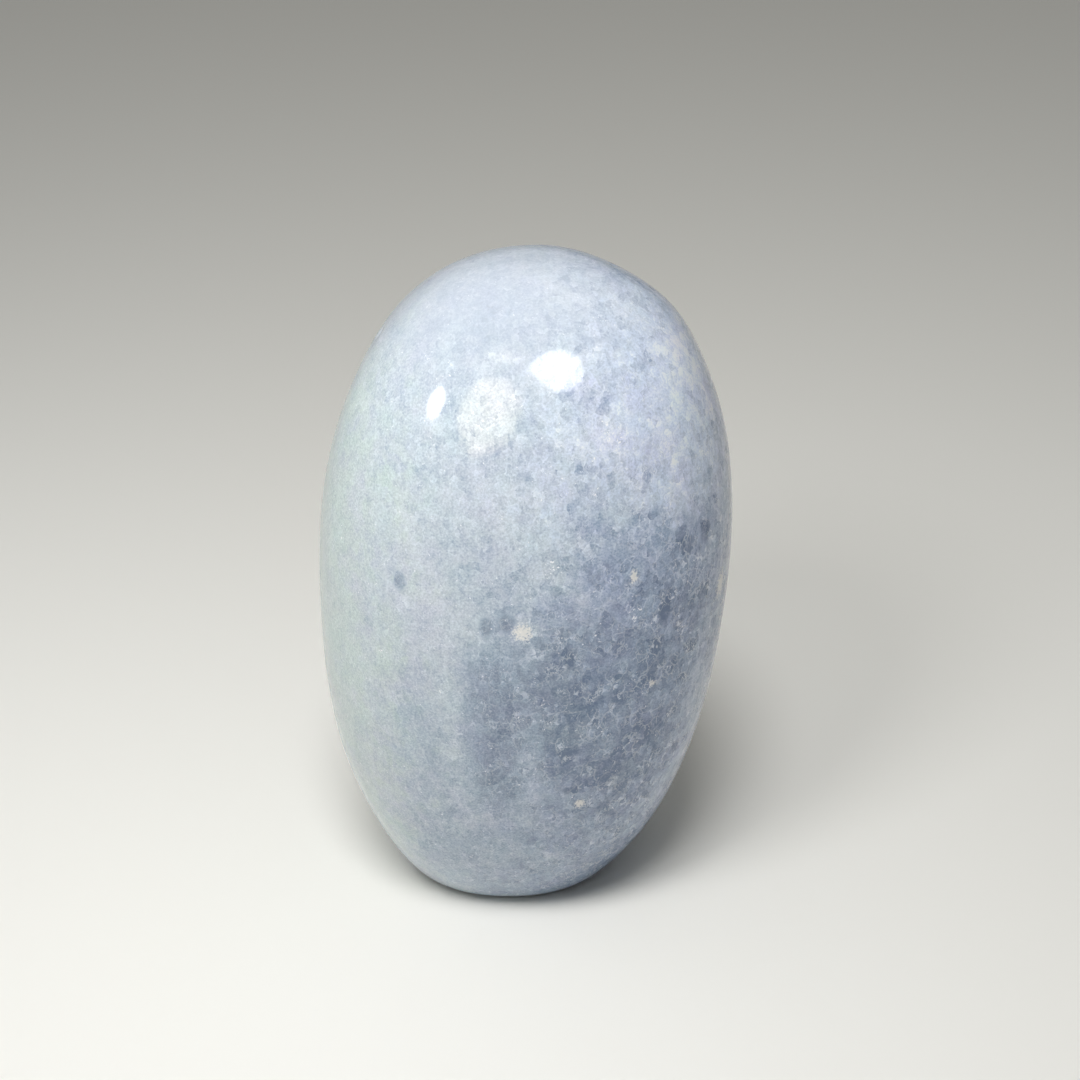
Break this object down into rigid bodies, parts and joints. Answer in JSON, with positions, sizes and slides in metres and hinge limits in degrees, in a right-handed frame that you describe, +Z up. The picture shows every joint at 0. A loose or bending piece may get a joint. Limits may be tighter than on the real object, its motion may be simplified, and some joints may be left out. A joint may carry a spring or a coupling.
{
  "type": "calcite specimen",
  "caption": "Tall, egg-like polished freeform of pale blue calcite, leaning slightly and sawn flat underneath so that it stands on end.",
  "frame": {"origin": "the middle of the stone's outline seen from above, at the level of its sawn foot", "axes": "+Z up along the stone's height, +X to the right and -Y towards the viewer, so that the broad side faces -Y"},
  "size_m": [0.0758, 0.0642, 0.1267],
  "materials": {
    "polished_calcite": "hand-polished to a gloss, translucent, with a sugary grain of 1 to 2 mm"
  },
  "bodies": {
    "root": {"calcite_freeform": "polished_calcite"}
  },
  "joints": []
}
